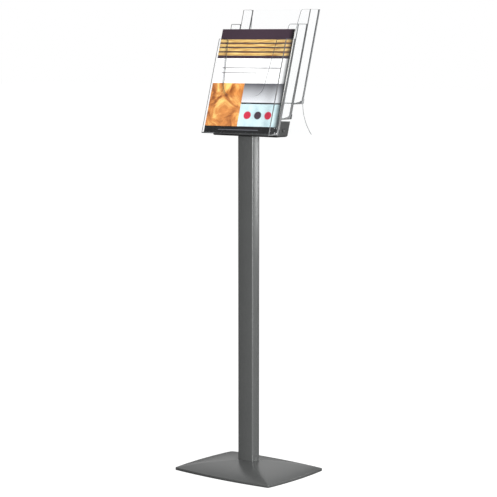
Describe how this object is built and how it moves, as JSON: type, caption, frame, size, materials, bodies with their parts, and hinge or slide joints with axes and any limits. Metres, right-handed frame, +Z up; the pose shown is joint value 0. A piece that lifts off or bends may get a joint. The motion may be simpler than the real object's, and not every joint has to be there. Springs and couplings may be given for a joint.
{
  "type": "floor-standing brochure rack",
  "caption": "Floor stand with a bowed and domed base, a slim rectangular post and clear leaning pockets that step up and back to hold letter-size brochures.",
  "frame": {"origin": "on the floor under the middle of the base, at the middle of the floor pad's underside", "axes": "+Z up the post; the pockets face -Y and lean back towards +Y; +X is to the right of someone who faces the rack"},
  "size_m": [0.3296, 0.2893, 1.222],
  "materials": {
    "charcoal_powder_coat": "satin charcoal powder coat",
    "cast_iron": "rough black",
    "zinc_steel": "zinc plated",
    "black_rubber": "matte",
    "nylon": "satin",
    "clear_plastic": "clear, polished",
    "page_paper": "uncoated",
    "cover_card": "gloss-coated print"
  },
  "bodies": {
    "stand": {"back_panel": "clear_plastic", "base_cover": "charcoal_powder_coat", "base_weight": "cast_iron", "bracket_body": "charcoal_powder_coat", "bracket_lid": "charcoal_powder_coat", "floor_pad": "black_rubber", "foot_bolt_1": "zinc_steel", "foot_bolt_2": "zinc_steel", "foot_washer_1": "zinc_steel", "foot_washer_2": "zinc_steel", "holder_nut_1": "zinc_steel", "holder_nut_2": "zinc_steel", "holder_screw_1": "zinc_steel", "holder_screw_2": "zinc_steel", "holder_spacer_1": "nylon", "holder_spacer_2": "nylon", "lid_screw_left": "zinc_steel", "lid_screw_right": "zinc_steel", "link_pin_1_left": "clear_plastic", "link_pin_1_right": "clear_plastic", "link_pin_2_left": "clear_plastic", "link_pin_2_right": "clear_plastic", "link_pin_3_left": "clear_plastic", "link_pin_3_right": "clear_plastic", "post": "charcoal_powder_coat", "post_bolt_1": "zinc_steel", "post_bolt_2": "zinc_steel", "post_foot_insert": "zinc_steel", "post_top_insert": "zinc_steel", "post_washer_1": "zinc_steel", "post_washer_2": "zinc_steel", "tier_1": "clear_plastic", "tier_2": "clear_plastic", "tier_3": "clear_plastic"},
    "brochure": {"brochure_cover": "cover_card", "brochure_pages": "page_paper"}
  },
  "joints": [
    {"name": "brochure_lift", "type": "slide", "parent": "stand", "child": "brochure", "axis": [0, 0.289, 0.9573], "range_m": [0, 0.29]}
  ]
}
